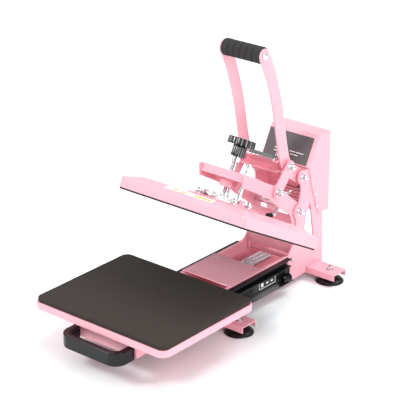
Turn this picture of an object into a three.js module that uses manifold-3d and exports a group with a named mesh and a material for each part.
// Slide-out heat press: a heated platen on toggle-linked arms swings over a drawer
// that carries the silicone pad. Millimetres, +Z up, +Y from the drawer towards the
// control box, +X to the right of somebody who stands at the drawer. The machine is
// drawn open: head raised, drawer pulled out. Machine coordinates have Y = 0 at the
// middle of the pulled-out pad; the last lines move the origin to the middle of the
// footprint, on the floor.
import * as THREE from 'three';
import { mergeVertices } from 'three/addons/utils/BufferGeometryUtils.js';
import Module from 'manifold-3d';

const wasm = await Module();
wasm.setup();

// ---------------------------------------------------------------- driving sizes
const GAP = 0.3; // between pieces that touch
const PLATEN = { halfX: 190.5, halfY: 152.4, radius: 14 }; // 381 x 305 mm (15 x 12 in)
const PAD = { top: 119, thick: 9, radius: 18 };
const DRAWER_PLATE = { halfX: 194, halfY: 156, thick: 15.7, radius: 22 };
const TRAVEL = 261; // drawer stroke

// head geometry, as (y, z) points of the open machine
const PIVOT_ARM = [479, 188]; // D, arms on the frame
const PIVOT_LEVER = [489.5, 273]; // B, levers on the frame
const PIVOT_ELBOW = [440, 314]; // A, links on the levers
const PIVOT_LINK = [394.5, 264.5]; // C, links on the arms
const HEAD = { y: 254.8, z: 223.4, tilt: THREE.MathUtils.degToRad(28.5) }; // platen underside

// plates stand in three vertical planes on each side
const LEVER_X = [55.5, 59.5];
const ARM_X = [61, 65];
const FRAME_X = [66, 70];
const BOLT_R = 5;
const SHAFT_R = 6; // arm shaft
const RUNNING = 0.3; // radial clearance of bolts and shafts

const BEAM = { halfX: 152, halfY: 25, low: 14, top: 30, wall: 2.5, frontY: 187, rearY: 539 };
const FOOT_X = 122;
const TRAY = { inner: 63.2, outer: 65.7, front: 160, wallEnd: 437, rear: 560, floor: 30.3, top: 85.5 };
const SLIDE = { rear: 436, length: 270, low: 63, high: 82.7 };

// ---------------------------------------------------------------- materials
const finish = (color, roughness, metalness) =>
  new THREE.MeshStandardMaterial({ color, roughness, metalness });
const pink = finish(0xf6b3c2, 0.42, 0.1);
const steel = finish(0xc9cbd0, 0.25, 0.95);
const blackPlastic = finish(0x1b1b1d, 0.35, 0);
const blackSteel = finish(0x202124, 0.4, 0.5);
const foam = finish(0x2c2b2c, 0.9, 0);
const silicone = finish(0x3a3431, 0.85, 0);
const rubber = finish(0x161617, 0.6, 0);
const greyLabel = finish(0x57545a, 0.5, 0);
const ledWindow = finish(0x14080a, 0.15, 0);
const coatedAluminium = finish(0x2a2a2c, 0.45, 0.4);

// ---------------------------------------------------------------- geometry helpers
const machine = new THREE.Group();
const headFrame = new THREE.Group(); // local Y runs along the platen, local Z off its underside
headFrame.position.set(0, HEAD.y, HEAD.z);
headFrame.rotation.x = -HEAD.tilt;
machine.add(headFrame);

function place(parent, name, geometry, material) {
  const mesh = new THREE.Mesh(geometry, material);
  mesh.name = name;
  parent.add(mesh);
  return mesh;
}

function solid(geometry) {
  const bare = geometry.clone();
  bare.deleteAttribute('normal');
  bare.deleteAttribute('uv');
  const merged = mergeVertices(bare, 1e-3);
  return new wasm.Manifold(new wasm.Mesh({
    numProp: 3,
    vertProperties: new Float32Array(merged.attributes.position.array),
    triVerts: new Uint32Array(merged.index.array),
  }));
}

function geometryOf(body) {
  const mesh = body.getMesh();
  const geometry = new THREE.BufferGeometry();
  geometry.setAttribute('position', new THREE.BufferAttribute(mesh.vertProperties, 3));
  geometry.setIndex(new THREE.BufferAttribute(mesh.triVerts, 1));
  return geometry;
}

// first geometry, with the others joined to it
const join = (first, ...others) =>
  geometryOf(others.reduce((sum, other) => sum.add(solid(other)), solid(first)));
// first geometry, with the others cut out of it
const cut = (first, ...others) =>
  geometryOf(others.reduce((rest, other) => rest.subtract(solid(other)), solid(first)));

function box(x0, x1, y0, y1, z0, z1) {
  const geometry = new THREE.BoxGeometry(x1 - x0, y1 - y0, z1 - z0);
  return geometry.translate((x0 + x1) / 2, (y0 + y1) / 2, (z0 + z1) / 2);
}

// a shape drawn in (y, z), extruded along X
function alongX(shape, x0, x1, curveSegments = 8) {
  const geometry = new THREE.ExtrudeGeometry(shape, { depth: x1 - x0, bevelEnabled: false, curveSegments });
  return geometry.applyMatrix4(new THREE.Matrix4().set(0, 0, 1, x0, 1, 0, 0, 0, 0, 1, 0, 0, 0, 0, 0, 1));
}

// a shape drawn in (x, z), extruded along Y
function alongY(shape, y0, y1) {
  const geometry = new THREE.ExtrudeGeometry(shape, { depth: y1 - y0, bevelEnabled: false });
  return geometry.applyMatrix4(new THREE.Matrix4().set(1, 0, 0, 0, 0, 0, -1, y1, 0, 1, 0, 0, 0, 0, 0, 1));
}

// a shape drawn in (x, y), extruded along Z
function alongZ(shape, z0, z1, curveSegments = 8) {
  const geometry = new THREE.ExtrudeGeometry(shape, { depth: z1 - z0, bevelEnabled: false, curveSegments });
  return geometry.translate(0, 0, z0);
}

const polygon = (points) => new THREE.Shape(points.map(([a, b]) => new THREE.Vector2(a, b)));

function roundedRectangle(halfX, halfY, radius) {
  const shape = new THREE.Shape();
  shape.absarc(halfX - radius, halfY - radius, radius, 0, Math.PI / 2);
  shape.absarc(radius - halfX, halfY - radius, radius, Math.PI / 2, Math.PI);
  shape.absarc(radius - halfX, radius - halfY, radius, Math.PI, 1.5 * Math.PI);
  shape.absarc(halfX - radius, radius - halfY, radius, 1.5 * Math.PI, 2 * Math.PI);
  return shape;
}

// a turned piece: profile of [radius, height], closed on its axis
function turned(profile, sides = 20) {
  const points = profile.map(([r, h]) => new THREE.Vector2(r, h));
  return new THREE.LatheGeometry(points, sides).rotateX(Math.PI / 2);
}

const cylinderZ = (radius, x, y, z0, z1, sides = 20) =>
  turned([[0, z0], [radius, z0], [radius, z1], [0, z1]], sides).translate(x, y, 0);

// a piece turned about the X axis through the (y, z) point, heights read as x
const turnedX = (profile, [y, z], sides = 14) =>
  turned(profile, sides).rotateY(Math.PI / 2).translate(0, y, z);

const cylinderX = (radius, x0, x1, point, sides = 14) =>
  turnedX([[0, x0], [radius, x0], [radius, x1], [0, x1]], point, sides);

const mirroredX = (geometry) => {
  const other = geometry.index ? geometry.toNonIndexed() : geometry.clone();
  other.scale(-1, 1, 1);
  const corners = other.attributes.position;
  for (let i = 0; i < corners.count; i += 3) {
    const [x, y, z] = [corners.getX(i), corners.getY(i), corners.getZ(i)];
    corners.setXYZ(i, corners.getX(i + 1), corners.getY(i + 1), corners.getZ(i + 1));
    corners.setXYZ(i + 1, x, y, z);
  }
  return other;
};

// the right-hand piece and its mirror image, as NAME_right and NAME_left
function placePair(parent, name, geometry, material) {
  place(parent, `${name}_right`, geometry, material);
  place(parent, `${name}_left`, mirroredX(geometry), material);
}

// a bar of even width along a curve of (y, z) points, with round ends
function barOutline(points, halfWidth, steps) {
  const curve = new THREE.SplineCurve(points.map(([y, z]) => new THREE.Vector2(y, z)));
  const side = (sign) => Array.from({ length: steps + 1 }, (_, i) => {
    const at = curve.getPoint(i / steps);
    const along = curve.getTangent(i / steps);
    return new THREE.Vector2(at.x - sign * along.y * halfWidth, at.y + sign * along.x * halfWidth);
  });
  const cap = (t, from) => {
    const centre = curve.getPoint(t);
    const along = curve.getTangent(t);
    const heading = Math.atan2(along.y, along.x) + from;
    return [1, 2, 3, 4, 5].map((i) => new THREE.Vector2(
      centre.x + halfWidth * Math.cos(heading - (i * Math.PI) / 6),
      centre.y + halfWidth * Math.sin(heading - (i * Math.PI) / 6)));
  };
  const left = side(1);
  const right = side(-1).reverse();
  return new THREE.Shape([...left, ...cap(1, Math.PI / 2), ...right, ...cap(0, -Math.PI / 2)]);
}

// ---------------------------------------------------------------- base on suction feet
function crossBeam(centreY) {
  const { halfX, halfY, low, top, wall } = BEAM;
  const channel = cut(
    box(-halfX, halfX, centreY - halfY, centreY + halfY, low, top),
    box(-halfX - 1, halfX + 1, centreY - halfY + wall, centreY + halfY - wall, low - 1, top - wall),
  );
  const hole = (x) => cylinderZ(4.5, x, centreY, top - wall - 1, top + 1, 12);
  return cut(channel, hole(FOOT_X), hole(-FOOT_X));
}
place(machine, 'front_beam', crossBeam(BEAM.frontY), pink);
place(machine, 'rear_beam', crossBeam(BEAM.rearY), pink);

// suction cup moulded on its stud, with the nut that clamps the beam
function suctionFoot(x, y) {
  const underBeam = BEAM.top - BEAM.wall - GAP;
  const nut = BEAM.top + GAP;
  return turned([[0, 0], [34, 0], [35, 2], [30, 7], [16, 11], [9, 13], [9, underBeam], [4, underBeam],
    [4, nut], [7.5, nut], [7.5, nut + 5.5], [4, nut + 5.5], [4, nut + 9], [0, nut + 9]], 20).translate(x, y, 0);
}
for (const [end, y] of [['front', BEAM.frontY], ['rear', BEAM.rearY]]) {
  place(machine, `foot_${end}_right`, suctionFoot(FOOT_X, y), rubber);
  place(machine, `foot_${end}_left`, suctionFoot(-FOOT_X, y), rubber);
}

// folded tray with outward lips; the front spring anchor is welded across it
const SPRING = { z: 68, anchorY: 342, barY: 462, radius: 5.5, pitch: 13 };
function baseTray() {
  const { inner, outer, front, wallEnd, rear, floor, top } = TRAY;
  const lip = 72;
  const floorTop = floor + 2.7;
  const wall = polygon([[inner, floor], [outer, floor], [outer, top - 2.5], [lip, top - 2.5], [lip, top], [inner, top]]);
  const rightWall = alongY(wall, front, wallEnd);
  return join(
    box(-outer, outer, front, rear, floor, floorTop), rightWall, mirroredX(rightWall),
    cylinderX(4, -inner - 1, inner + 1, [SPRING.anchorY, SPRING.z], 12),
  );
}
place(machine, 'base_tray', baseTray(), pink);

const COVER = { halfX: 71.5, front: 215, rear: 338, low: TRAY.top + GAP, top: TRAY.top + GAP + 2 };
place(machine, 'tray_cover', box(-COVER.halfX, COVER.halfX, COVER.front, COVER.rear, COVER.low, COVER.top), pink);

// black side guard below each slide: louvres at the front, sloped foot
function sideGuard() {
  const section = polygon([[66, 60.7], [76, 60.7], [76, 34.5], [89.4, 27.5], [90, 29], [78, 35.5], [78, 62.7], [66, 62.7]]);
  const louvre = (row) => box(75, 79, 226, 292, 41 + 6 * row, 43.5 + 6 * row);
  return cut(alongY(section, 214, SLIDE.rear), louvre(0), louvre(1), louvre(2));
}
placePair(machine, 'side_guard', sideGuard(), blackSteel);

// ---------------------------------------------------------------- telescopic slides
function channelSection(webX, webWall, tipX, low, high, wall) {
  return polygon([[webX, low], [tipX, low], [tipX, low + wall], [webX + webWall, low + wall],
    [webX + webWall, high - wall], [tipX, high - wall], [tipX, high], [webX, high]]);
}
const rearOfMiddle = SLIDE.rear - 1 - TRAVEL / 2;
placePair(machine, 'slide_outer',
  alongY(channelSection(66, 1.5, 84, SLIDE.low, SLIDE.high, 1.5), SLIDE.rear - SLIDE.length - 1, SLIDE.rear), blackSteel);
placePair(machine, 'slide_middle',
  alongY(channelSection(67.9, 1.3, 83.5, SLIDE.low + 1.9, SLIDE.high - 1.9, 1.3), rearOfMiddle - SLIDE.length, rearOfMiddle), blackSteel);
const rearOfInner = SLIDE.rear - 1 - TRAVEL;
placePair(machine, 'slide_inner', box(69.6, 91.7, rearOfInner - 264, rearOfInner, SLIDE.low + 4, SLIDE.high - 4.2), blackSteel);

// ---------------------------------------------------------------- drawer
const padBottom = PAD.top - PAD.thick;
const plateTop = padBottom - GAP;
const plateBottom = plateTop - DRAWER_PLATE.thick;
place(machine, 'silicone_pad', alongZ(roundedRectangle(PLATEN.halfX, PLATEN.halfY, PAD.radius), padBottom, PAD.top, 5), silicone);
// folded tray turned upside down: a 3 mm skin with a rim
const rimmed = (inset, low, high) => alongZ(
  roundedRectangle(DRAWER_PLATE.halfX - inset, DRAWER_PLATE.halfY - inset, DRAWER_PLATE.radius - inset), low, high, 5);
place(machine, 'drawer_plate', cut(rimmed(0, plateBottom, plateTop), rimmed(3, plateBottom - 1, plateTop - 3)), pink);

// three-sided carrier below the plate: a front wall and two side walls
const CARRIER = { halfX: 94.5, wall: 2.5, front: -131, rear: 148, low: 52.5, top: plateTop - 3 - GAP };
place(machine, 'drawer_carrier', cut(
  box(-CARRIER.halfX, CARRIER.halfX, CARRIER.front, CARRIER.rear, CARRIER.low, CARRIER.top),
  box(CARRIER.wall - CARRIER.halfX, CARRIER.halfX - CARRIER.wall, CARRIER.front + CARRIER.wall, CARRIER.rear + 1,
    CARRIER.low - 1, CARRIER.top + 1),
), pink);

// pull handle: a flat loop with big front corners, against the carrier's front wall
const HANDLE = { halfX: 88, depth: 56, bar: 16, radius: 30, low: 46, top: 78 };
function pullHandle() {
  const back = CARRIER.front - GAP;
  const loop = (halfX, depth, radius, backY) => {
    const shape = new THREE.Shape();
    shape.moveTo(halfX, backY);
    shape.lineTo(-halfX, backY);
    shape.absarc(radius - halfX, back - depth + radius, radius, Math.PI, 1.5 * Math.PI);
    shape.absarc(halfX - radius, back - depth + radius, radius, 1.5 * Math.PI, 2 * Math.PI);
    return shape;
  };
  const outer = alongZ(loop(HANDLE.halfX, HANDLE.depth, HANDLE.radius, back), HANDLE.low, HANDLE.top, 6);
  const inner = alongZ(loop(HANDLE.halfX - HANDLE.bar, HANDLE.depth - HANDLE.bar, HANDLE.radius - HANDLE.bar, back + 1),
    HANDLE.low - 1, HANDLE.top + 1, 6);
  return cut(outer, inner);
}
place(machine, 'pull_handle', pullHandle(), blackPlastic);

// ---------------------------------------------------------------- frame
const EAR = { lever: 17, arm: 19 };
function sidePlate() {
  const shape = new THREE.Shape();
  const notch = [BEAM.rearY - BEAM.halfY - 3, BEAM.rearY + BEAM.halfY + 3];
  shape.moveTo(438, 16);
  for (const [y, z] of [[notch[0], 16], [notch[0], 30.5], [notch[1], 30.5], [notch[1], 16], [580, 16], [574, 161],
    [590, 161], [590, 340], [546, 340], [519.5, 290], [518, 286.5]]) shape.lineTo(y, z);
  shape.absarc(...PIVOT_LEVER, EAR.lever, 0.3 * Math.PI, 1.35 * Math.PI, false);
  shape.quadraticCurveTo(489, 236, 477, 208);
  shape.absarc(...PIVOT_ARM, EAR.arm, 0.6 * Math.PI, 1.28 * Math.PI, false);
  shape.quadraticCurveTo(472, 150, 466, 130);
  shape.quadraticCurveTo(460, 104, 440, 88);
  shape.lineTo(438, 84);
  const window = new THREE.Path([[524, 198], [543, 86], [502, 86], [502, 132], [508, 172]].map(([y, z]) => new THREE.Vector2(y, z)));
  shape.holes.push(window);
  const hole = (point, radius) => cylinderX(radius + RUNNING, FRAME_X[0] - 1, FRAME_X[1] + 1, point);
  return cut(alongX(shape, ...FRAME_X, 6), hole(PIVOT_LEVER, BOLT_R), hole(PIVOT_ARM, SHAFT_R));
}
placePair(machine, 'side_plate', sidePlate(), pink);

// louvred sheet that closes the lower front of the control box, between the side plates
const LOUVRE_SHEET = [[517, 284], [531, 228], [559, 160]];
function innerWall() {
  const halfX = FRAME_X[0] - GAP;
  const sheet = alongX(polygon([...LOUVRE_SHEET, ...LOUVRE_SHEET.map(([y, z]) => [y + 2.2, z]).reverse()]), -halfX, halfX);
  const slots = [0, 1, 2, 3, 4].map((row) => box(-45, 45, 525, 562, 172 + 11 * row, 176 + 11 * row));
  return cut(sheet, ...slots);
}
place(machine, 'inner_wall', innerWall(), pink);

// control box: folded cover over the top of the side plates, open at the lower front
const CONTROL = { foot: [513, 288], brow: [551.8, 361], back: 596, top: 361, low: 157, halfX: 72.3, wall: 2 };
const SWITCH = { x: [21, 49], y: [590, 599], z: [195, 215] };
function controlBox() {
  const { foot, brow, back, top, low, halfX, wall } = CONTROL;
  const outline = polygon([foot, [528, 228], [556, low], [back, low], [back, top], brow]);
  const inside = polygon([[foot[0] - 3, foot[1] - 0.5], [500, 250], [540, low - 5], [577, low - 5], [577, low + wall],
    [back - wall, low + wall], [back - wall, top - wall], [brow[0] + 1.2, top - wall], [foot[0] + 2.3, foot[1] + 0.1]]);
  return cut(
    alongX(outline, -halfX, halfX), alongX(inside, wall - halfX, halfX - wall),
    box(SWITCH.x[0] - 1, SWITCH.x[1] + 1, 589, 598, SWITCH.z[0] - 2, SWITCH.z[1] + 2),
  );
}
place(machine, 'control_box', controlBox(), pink);
place(machine, 'power_switch', box(...SWITCH.x, ...SWITCH.y, ...SWITCH.z), blackPlastic);

// sloped panel: local Y runs up the slope, local Z stands off it
const slope = Math.atan2(CONTROL.brow[1] - CONTROL.foot[1], CONTROL.brow[0] - CONTROL.foot[0]);
const panelFrame = new THREE.Group();
panelFrame.position.set(0, ...CONTROL.foot);
panelFrame.rotation.x = slope;
machine.add(panelFrame);
const BUTTON = { radius: 3.8, x: -28, y: 40, spread: 10, low: 1.7, top: 4.4 };
const buttonXs = [BUTTON.x - BUTTON.spread, BUTTON.x, BUTTON.x + BUTTON.spread];
const buttonHoles = buttonXs.map((x) => cylinderZ(BUTTON.radius + 0.5, x, BUTTON.y, -1, 4, 16));
place(panelFrame, 'control_panel', cut(box(-69, 60, 3, 72, GAP, GAP + 2), ...buttonHoles), greyLabel);
place(panelFrame, 'display_window', box(-44, -18, 50, 64, GAP + 2.3, GAP + 3.5), ledWindow);
['down', 'set', 'up'].forEach((use, i) => {
  place(panelFrame, `button_${use}`, cylinderZ(BUTTON.radius, buttonXs[i], BUTTON.y, BUTTON.low, BUTTON.top, 16), blackPlastic);
});

// ---------------------------------------------------------------- pivots
// domed bolt head with its washer, from the face it clamps outwards, as [radius, x]
const FACE = FRAME_X[1] + GAP;
const boltHead = [[11, FACE], [11, FACE + 1.6], [8.5, FACE + 1.6], [8.5, FACE + 4.5], [6, FACE + 6.5], [0, FACE + 6.5]];
const spacer = (radius, [x0, x1]) => [[radius, x0], [8, x0], [8, x1], [radius, x1]];
const mirroredProfile = (profile) => profile.map(([r, x]) => [r, -x]).reverse();

// links on the arms: nut inside the arm, spacer between arm and link
placePair(machine, 'link_bolt', turnedX([[0, 54], [8, 54], [8, ARM_X[0] - GAP], [BOLT_R, ARM_X[0] - GAP],
  ...spacer(BOLT_R, [ARM_X[1] + GAP, FRAME_X[0] - GAP]), [BOLT_R, FACE], ...boltHead], PIVOT_LINK), steel);
// the elbow bolt ends just short of the lever
placePair(machine, 'elbow_bolt', turnedX([[0, LEVER_X[1] + 0.5], [8, LEVER_X[1] + 0.5], [8, FRAME_X[0] - GAP],
  [BOLT_R, FRAME_X[0] - GAP], [BOLT_R, FACE], ...boltHead], PIVOT_ELBOW), steel);
// through shafts of the levers and of the arms
const leverShaft = [...spacer(BOLT_R, [LEVER_X[1] + GAP, FRAME_X[0] - GAP]), [BOLT_R, FACE], ...boltHead];
place(machine, 'lever_shaft', turnedX([...mirroredProfile(leverShaft), ...leverShaft], PIVOT_LEVER), steel);
const armShaft = [[SHAFT_R, FACE], ...boltHead];
place(machine, 'arm_shaft', turnedX([...mirroredProfile(armShaft), ...armShaft], PIVOT_ARM), steel);

// ---------------------------------------------------------------- toggle links
function link() {
  const hole = (point) => cylinderX(BOLT_R + RUNNING, FRAME_X[0] - 1, FRAME_X[1] + 1, point);
  return cut(alongX(barOutline([PIVOT_LINK, PIVOT_ELBOW], 16, 1), ...FRAME_X), hole(PIVOT_LINK), hole(PIVOT_ELBOW));
}
placePair(machine, 'toggle_link', link(), pink);

// ---------------------------------------------------------------- operating lever
const GRIP = { at: [350, 607], radius: 20, rod: 6 };
function lever() {
  const centreLine = [GRIP.at, [374, 557], [400, 477], [414, 410], [427, 350], [444, 309], PIVOT_LEVER];
  const bar = alongX(barOutline(centreLine, 17, 18), ...LEVER_X);
  const hole = (point, radius) => cylinderX(radius + RUNNING, LEVER_X[0] - 1, LEVER_X[1] + 1, point, 16);
  return cut(bar, hole(GRIP.at, GRIP.rod), hole(PIVOT_LEVER, BOLT_R));
}
placePair(machine, 'lever', lever(), pink);
place(machine, 'grip_rod', turnedX([[0, -64], [6, -64], [9, -62], [9, -59.8], [GRIP.rod, -59.8], [GRIP.rod, 59.8], [9, 59.8],
  [9, 62], [6, 64], [0, 64]], GRIP.at, 16), steel);
const gripEnd = LEVER_X[0] - GAP;
place(machine, 'foam_grip', turnedX([[GRIP.rod + GAP, -gripEnd], [GRIP.radius - 2, -gripEnd], [GRIP.radius, 2 - gripEnd],
  [GRIP.radius, gripEnd - 2], [GRIP.radius - 2, gripEnd], [GRIP.rod + GAP, gripEnd], [GRIP.rod + GAP, -gripEnd]], GRIP.at, 24), foam);

// folded cross-piece between the levers, with the steel keeper bar for the magnet
const TIE = { y: [404, 430], z: [306, 334], wall: 3 };
place(machine, 'lever_tie', cut(
  box(-gripEnd, gripEnd, ...TIE.y, ...TIE.z),
  box(-gripEnd - 1, gripEnd + 1, TIE.y[0] - 1, TIE.y[1] - TIE.wall, TIE.z[0] + TIE.wall, TIE.z[1] - TIE.wall),
), pink);
place(machine, 'keeper_bar', box(-50, 50, TIE.y[0] - 4, TIE.y[0] + 18, TIE.z[1] + GAP, TIE.z[1] + 7), steel);

// ---------------------------------------------------------------- arms
function arm() {
  const shape = new THREE.Shape();
  shape.moveTo(268, 344);
  shape.lineTo(268, 314);
  shape.quadraticCurveTo(320, 286, 368, 254);
  shape.quadraticCurveTo(410, 214, 446, 190);
  shape.quadraticCurveTo(462, 172, 458, 130);
  shape.lineTo(452, 72);
  shape.absarc(SPRING.barY, SPRING.z, 10, Math.PI * 0.97, Math.PI * 2, false);
  shape.lineTo(480, 130);
  shape.quadraticCurveTo(488, 160, 496, 178);
  shape.absarc(...PIVOT_ARM, 20, -0.15 * Math.PI, 0.4 * Math.PI, false);
  shape.quadraticCurveTo(440, 238, 412, 272);
  shape.absarc(...PIVOT_LINK, 18, 0.15 * Math.PI, 0.62 * Math.PI, false);
  shape.quadraticCurveTo(330, 314, 276, 344);
  const hole = (point, radius) => cylinderX(radius + RUNNING, ARM_X[0] - 1, ARM_X[1] + 1, point, 16);
  return cut(alongX(shape, ...ARM_X, 6), hole(PIVOT_LINK, BOLT_R), hole(PIVOT_ARM, SHAFT_R));
}
placePair(machine, 'arm', arm(), pink);

// spring bar between the arms' tails, and the springs that lift the head
const armInside = ARM_X[0] - GAP;
place(machine, 'spring_bar', cylinderX(5, -armInside, armInside, [SPRING.barY, SPRING.z], 14), steel);
[-1, 0, 1].forEach((row) => {
  const coil = cylinderZ(SPRING.radius, 0, 0, SPRING.anchorY + 4.6, SPRING.barY - 5.6, 14);
  place(machine, `lift_spring_${row + 2}`, coil.rotateX(-Math.PI / 2).translate(row * SPRING.pitch, 0, SPRING.z), steel);
});

// bent sheet that joins the arms' tails above the spring bar
const TAIL_SHEET = [[455, 82], [461, 130], [463, 158], [452, 184]];
place(machine, 'arm_web', alongX(polygon([...TAIL_SHEET, ...TAIL_SHEET.map(([y, z]) => [y + 3, z + 0.6]).reverse()]), -armInside, armInside), pink);

// nose between the arms: channel with a front lip, and the pressure nut's boss
const SCREW = { radius: 8, tip: 56.3, top: 180 };
const NOSE = { front: -36, rear: 30, web: [113, 117], lipLow: 97, wall: 3 };
const BOSS = { radius: 21, low: 78 };
const POST = { x: 40, radius: 5, low: 56.3, top: 136 };
function nose() {
  const { front, rear, web, lipLow, wall } = NOSE;
  const bore = (radius, x) => cylinderZ(radius, x, 0, BOSS.low - 1, web[1] + 1);
  return cut(join(
    box(-armInside, armInside, front, rear, ...web),
    box(-armInside, armInside, front, front + wall, lipLow, web[1]),
    box(-armInside, armInside, rear - wall, rear, lipLow, web[1]),
    cylinderZ(BOSS.radius, 0, 0, BOSS.low, web[1] - 1, 28),
  ), bore(SCREW.radius + 0.4, 0), bore(POST.radius + 0.5, POST.x));
}
place(headFrame, 'arm_nose', nose(), pink);

// ---------------------------------------------------------------- pressure carriage
const SADDLE = { halfX: 50, halfY: 16, low: 48, top: 56, pivot: 52 };
function saddle() {
  const trunnion = (x0, x1) => cylinderX(3.5, x0, x1, [0, SADDLE.pivot], 14);
  return join(
    box(-SADDLE.halfX, SADDLE.halfX, -SADDLE.halfY, SADDLE.halfY, SADDLE.low, SADDLE.top),
    trunnion(SADDLE.halfX - 1, SADDLE.halfX + 7), trunnion(-SADDLE.halfX - 7, 1 - SADDLE.halfX),
  );
}
place(headFrame, 'pressure_saddle', saddle(), steel);
place(headFrame, 'guide_post', turned([[0, POST.low], [POST.radius, POST.low], [POST.radius, POST.top],
  [8, POST.top], [8, POST.top + 6], [0, POST.top + 6]], 16).translate(POST.x, 0, 0), steel);

const KNOB = { low: 152, hub: 17, hubTop: 178, disc: 33, top: 196, lobes: 12 };
place(headFrame, 'pressure_screw', turned([[0, SCREW.tip], [11, SCREW.tip], [11, SCREW.tip + 6], [SCREW.radius, SCREW.tip + 6],
  [SCREW.radius, 143], [11, 143], [11, KNOB.low - GAP], [SCREW.radius, KNOB.low - GAP], [SCREW.radius, SCREW.top], [0, SCREW.top]], 20), steel);
function knob() {
  const rim = Array.from({ length: KNOB.lobes * 6 }, (_, i) => {
    const angle = (i / (KNOB.lobes * 6)) * 2 * Math.PI;
    const radius = KNOB.disc - 1.8 + 1.8 * Math.cos(KNOB.lobes * angle);
    return [radius * Math.cos(angle), radius * Math.sin(angle)];
  });
  return cut(
    join(alongZ(polygon(rim), KNOB.hubTop - 1, KNOB.top), cylinderZ(KNOB.hub, 0, 0, KNOB.low, KNOB.hubTop, 24)),
    cylinderZ(SCREW.radius + GAP, 0, 0, KNOB.low - 1, SCREW.top + GAP),
  );
}
place(headFrame, 'pressure_knob', knob(), blackPlastic);

// ---------------------------------------------------------------- heated platen
// upright rim, then a shallow slope up to the flat top
const HOOD = { low: 4, rim: 29, top: 42, wall: 2, slope: 34 };
function hoodSolid(inset, low, rim, top) {
  const [halfX, halfY, radius] = [PLATEN.halfX - inset, PLATEN.halfY - inset, PLATEN.radius - inset];
  const dome = alongZ(roundedRectangle(halfX, halfY, radius), rim - 0.01, top, 5);
  const corners = dome.attributes.position;
  for (let i = 0; i < corners.count; i += 1) {
    if (corners.getZ(i) > top - 0.001) {
      corners.setXY(i, corners.getX(i) * (1 - HOOD.slope / halfX), corners.getY(i) * (1 - HOOD.slope / halfY));
    }
  }
  return join(alongZ(roundedRectangle(halfX, halfY, radius), low, rim, 5), dome);
}
place(headFrame, 'platen_cover', cut(
  hoodSolid(0, HOOD.low, HOOD.rim, HOOD.top),
  hoodSolid(HOOD.wall, HOOD.low - 1, HOOD.rim, HOOD.top - HOOD.wall),
), pink);
const plateInset = HOOD.wall + GAP;
place(headFrame, 'heating_plate',
  alongZ(roundedRectangle(PLATEN.halfX - plateInset, PLATEN.halfY - plateInset, PLATEN.radius - plateInset), 0, 14, 5), coatedAluminium);

// bracket on the cover, whose two lugs hold the saddle's trunnions
const LUG_X = [52, 56];
function platenBracket() {
  const lug = (x0, x1) => alongX(polygon([[-14, HOOD.top + 2], [14, HOOD.top + 2], [8, HOOD.top + 17], [-8, HOOD.top + 17]]), x0, x1);
  const bore = cylinderX(3.9, -60, 60, [0, SADDLE.pivot], 14);
  const foot = alongZ(roundedRectangle(78, 42, 12), HOOD.top + GAP, HOOD.top + 3.3, 4);
  return cut(join(foot, lug(...LUG_X), lug(-LUG_X[1], -LUG_X[0])), bore);
}
place(headFrame, 'platen_bracket', platenBracket(), pink);

// ---------------------------------------------------------------- heater conduit
// flexible metal hose from the cover's rear to the inner wall
const CONDUIT = { radius: 4, points: [[48, 398, 199], [48, 410, 197], [48, 420, 208], [47, 428, 222], [44, 446, 231],
  [40, 478, 230], [36, 508, 224], [34, 529.3, 222]] };
function conduit() {
  const route = new THREE.CatmullRomCurve3(CONDUIT.points.map((point) => new THREE.Vector3(...point)));
  const section = new THREE.Shape();
  section.absarc(0, 0, CONDUIT.radius, 0, 2 * Math.PI);
  return new THREE.ExtrudeGeometry(section, { steps: 16, extrudePath: route, curveSegments: 5 });
}
place(machine, 'heater_conduit', conduit(), steel);

// ---------------------------------------------------------------- origin
// footprint from the pull handle's front to the control box's back
const frontmost = CARRIER.front - GAP - HANDLE.depth;
const rearmost = SWITCH.y[1];
machine.position.y = -(frontmost + rearmost) / 2;

const heatPress = new THREE.Group();
heatPress.add(machine);
export default heatPress;
